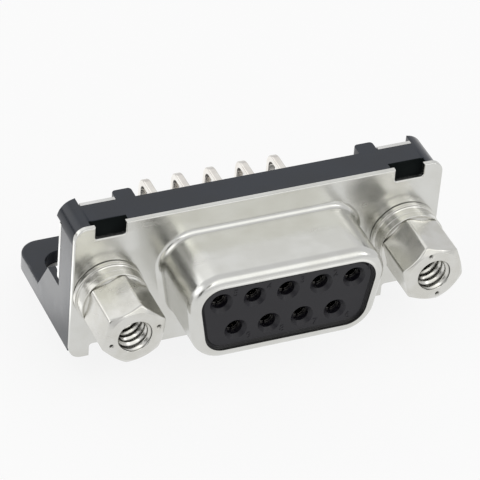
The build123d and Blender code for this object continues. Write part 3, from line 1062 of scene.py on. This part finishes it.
@dataclass
class Studio:
    """Floor, world light, soft boxes and camera."""

    floor_size: float = 1.2
    floor_drop: float = 0.01 * MM
    floor_colour: Colour = (0.9, 0.9, 0.9)
    floor_glow: float = 0.85
    # Painted pools of light on the floor, seen only in reflections. The last one, with a low level under the
    # connector, is its painted shadow.
    floor_patches: tuple[FloorPatch, ...] = (
        FloorPatch((-4.0 * MM, 15.5 * MM), 12.0 * MM, 5.5 * MM, 0.35, 1.3),
        FloorPatch((-19.5 * MM, 5.5 * MM), 4.0 * MM, 7.0 * MM, 0.35, 2.0),
        FloorPatch((11.0 * MM, -38.0 * MM), 10.0 * MM, 8.0 * MM, 0.5, 1.5),
        FloorPatch((0.0, 1.0 * MM), 14.0 * MM, 8.0 * MM, 0.25, 0.08),
    )
    sky_level: float = 0.65
    mirrored_sky: Colour = (0.8, 0.8, 0.81)
    patches: tuple[MirroredPatch, ...] = (
        MirroredPatch(12.0, 44.0, 34.0, 22.0, 0.35, (1.4, 1.4, 1.38)),
        MirroredPatch(153.0, 38.0, 11.0, 9.0, 0.5, (0.98, 0.98, 0.98)),
        MirroredPatch(-171.0, 42.0, 19.0, 13.0, 0.5, (1.18, 1.18, 1.18)),
        MirroredPatch(-141.0, 20.0, 13.0, 18.0, 0.4, (1.6, 1.6, 1.6)),
        MirroredPatch(-136.0, 1.0, 9.0, 6.0, 0.5, (0.1, 0.09, 0.07)),
        MirroredPatch(-88.0, 26.0, 28.0, 18.0, 0.4, (1.8, 1.8, 1.8)),
        MirroredPatch(48.0, 28.0, 6.0, 7.0, 0.6, (4.0, 4.0, 4.0)),
        MirroredPatch(-12.0, 34.5, 5.0, 7.0, 0.6, (2.6, 2.6, 2.6)),
        MirroredPatch(-8.0, 46.0, 9.0, 7.0, 0.5, (1.9, 1.9, 1.78)),
        MirroredPatch(-26.0, 37.5, 7.0, 8.0, 0.5, (0.06, 0.055, 0.045)),
        MirroredPatch(-43.0, 13.0, 10.0, 13.5, 0.3, (0.02, 0.02, 0.01)),
    )
    soft_boxes: tuple[SoftBox, ...] = (
        SoftBox("soft_box_left", -70.0, 50.0, 0.5, 0.4, 0.12),
        SoftBox("soft_box_front", 12.0, 44.0, 0.5, 0.4, 0.18),
    )

    def floor_material(self) -> bpy.types.Material:
        """Build the floor's material: matt, and glowing to the camera and to shiny surfaces.

        Returns:
            The material.
        """
        material, graph = new_material("pale_floor")
        path = graph.add("ShaderNodeLightPath").outputs
        shiny = graph.math("MAXIMUM", path["Is Glossy Ray"], path["Is Transmission Ray"])
        seen = graph.math("MAXIMUM", path["Is Camera Ray"], shiny)
        place = graph.add("ShaderNodeTexCoord").outputs["Object"]
        # Glow that shiny surfaces see. The patches paint pools of light and the connector's shadow onto the
        # floor.
        glow = 1.0
        for patch in self.floor_patches:
            glow = patch.lay_over(graph, place, glow)
        strength = graph.mix(path["Is Camera Ray"], glow, 1.0)
        matt = graph.add("ShaderNodeBsdfDiffuse", {"Color": (*self.floor_colour, 1.0)})
        lit = graph.add("ShaderNodeEmission", {"Color": WHITE, "Strength": strength})
        share = graph.math("MULTIPLY", seen, self.floor_glow)
        mixed = graph.add("ShaderNodeMixShader", {0: share, 1: matt.outputs[0], 2: lit.outputs[0]})
        graph.add("ShaderNodeOutputMaterial", {"Surface": mixed.outputs[0]})
        return material

    def build_floor(self) -> None:
        """Build the floor under the tails' tips; the camera sees it nearly white, with a faint shadow."""
        half = self.floor_size / 2
        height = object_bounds()[0].z - self.floor_drop
        corners = [(-half, -half, height), (half, -half, height), (half, half, height), (-half, half, height)]
        mesh = bpy.data.meshes.new("floor")
        mesh.from_pydata(corners, [], [(0, 1, 2, 3)])
        mesh.materials.append(self.floor_material())
        place_object("floor", mesh)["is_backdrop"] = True

    def build_world(self) -> None:
        """Build the world: white to the camera, pale light, and a room with patches to shiny surfaces."""
        world = bpy.data.worlds.new("studio")
        bpy.context.scene.world = world
        world.use_nodes = True
        graph = Graph(world.node_tree)
        way = graph.add("ShaderNodeTexCoord").outputs["Generated"]
        colour = (*self.mirrored_sky, 1.0)
        for patch in self.patches:
            colour = patch.lay_over(graph, way, colour)
        light = graph.add("ShaderNodeBackground", {"Color": WHITE, "Strength": self.sky_level})
        mirrored = graph.add("ShaderNodeBackground", {"Color": colour, "Strength": 1.0})
        white = graph.add("ShaderNodeBackground", {"Color": WHITE, "Strength": 1.0})
        path = graph.add("ShaderNodeLightPath").outputs
        shiny = graph.math("MAXIMUM", path["Is Glossy Ray"], path["Is Transmission Ray"])
        room = graph.add("ShaderNodeMixShader", {0: shiny, 1: light.outputs[0], 2: mirrored.outputs[0]})
        mixed = graph.add("ShaderNodeMixShader", {
            0: path["Is Camera Ray"], 1: room.outputs[0], 2: white.outputs[0]})
        graph.add("ShaderNodeOutputWorld", {"Surface": mixed.outputs[0]})

    def build_lamps(self) -> None:
        """Build the soft boxes, aimed at the connector's middle."""
        low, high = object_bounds()
        for box in self.soft_boxes:
            box.build((low + high) / 2)


@dataclass(frozen=True)
class Viewpoint:
    """Camera at the photograph's angle, aimed from the socket's centre on the flange's front."""

    azimuth: float = math.radians(-25.617)
    elevation: float = math.radians(37.505)
    roll: float = math.radians(5.137)
    distance: float = 263.647 * MM
    focal_pixels: float = 3381.09
    frame_pixels: float = 480.0
    sensor: float = 36.0
    nearest: float = 0.02
    furthest: float = 10.0
    right_offset: float = 1.3695 * MM
    up_offset: float = -1.5528 * MM

    def build(self) -> None:
        """Place the camera.

        Its back direction b comes from azimuth and elevation. Its right and up directions
        are the level ones turned by the roll, and it stands at the centre moved by
        distance times b, minus the two offsets along right and up.
        """
        back, across = direction(self.azimuth, self.elevation), level_right(self.azimuth)
        above = back.cross(across)
        right = math.cos(self.roll) * across + math.sin(self.roll) * above
        up = -math.sin(self.roll) * across + math.cos(self.roll) * above
        shell_low, shell_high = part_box("front_shell")
        washer_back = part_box("flat_washer_left")[1].y
        centre = Vector((0.0, washer_back, (shell_low.z + shell_high.z) / 2))
        place = centre + self.distance * back - self.right_offset * right - self.up_offset * up
        lens = bpy.data.cameras.new("camera")
        lens.sensor_width = self.sensor
        lens.lens = self.focal_pixels * self.sensor / self.frame_pixels
        lens.clip_start = self.nearest
        lens.clip_end = self.furthest
        camera = place_object("camera", lens)
        camera.matrix_world = Matrix((
            (right.x, up.x, back.x, place.x),
            (right.y, up.y, back.y, place.y),
            (right.z, up.z, back.z, place.z),
            (0.0, 0.0, 0.0, 1.0)))
        bpy.context.scene.camera = camera


def main() -> None:
    """Dress the frame, build the added pieces and set the scene."""
    logging.basicConfig(level=logging.INFO, format="%(name)s: %(message)s")
    bpy.context.scene.view_settings.view_transform = "Standard"
    mottle, rubs = make_mottle_group(), make_rub_group()
    finishes = {slot: finish.build(mottle, rubs) for slot, finish in FINISHES.items()}
    hardware_plating, insulator_plastic = finishes[Slot.HARDWARE], finishes[Slot.INSULATOR]
    numbers = ContactNumbers()

    dress(["front_shell"], finishes[Slot.SHELL])
    dress(["front_insulator", "rear_insulator"], insulator_plastic)
    dress([f"contact_{number}" for number, _, _ in numbers.places()], finishes[Slot.CONTACT])
    dress([f"threaded_insert_{side.value}" for side in Side], hardware_plating)
    dress([f"ground_strap_{side.value}" for side in Side], finishes[Slot.STRAP])
    MouldedBracket().build(finishes[Slot.BRACKET], RECESS_SHADE_FINISH.build(mottle, rubs))

    for side, turns in SCREW_TURNS.items():
        hexagon_turn, mark_turn, gap_turn = map(math.radians, turns)
        screw = Jackscrew(side, hexagon_turn, mark_turn)
        screw.build_body(hardware_plating)
        screw.build_thread(hardware_plating)
        washers = Washers(side, gap_turn)
        washers.build_flat(hardware_plating)
        washers.build_lock(hardware_plating)
    numbers.build(insulator_plastic)

    studio = Studio()
    studio.build_floor()
    studio.build_world()
    studio.build_lamps()
    Viewpoint().build()


if __name__ == "__main__":
    main()
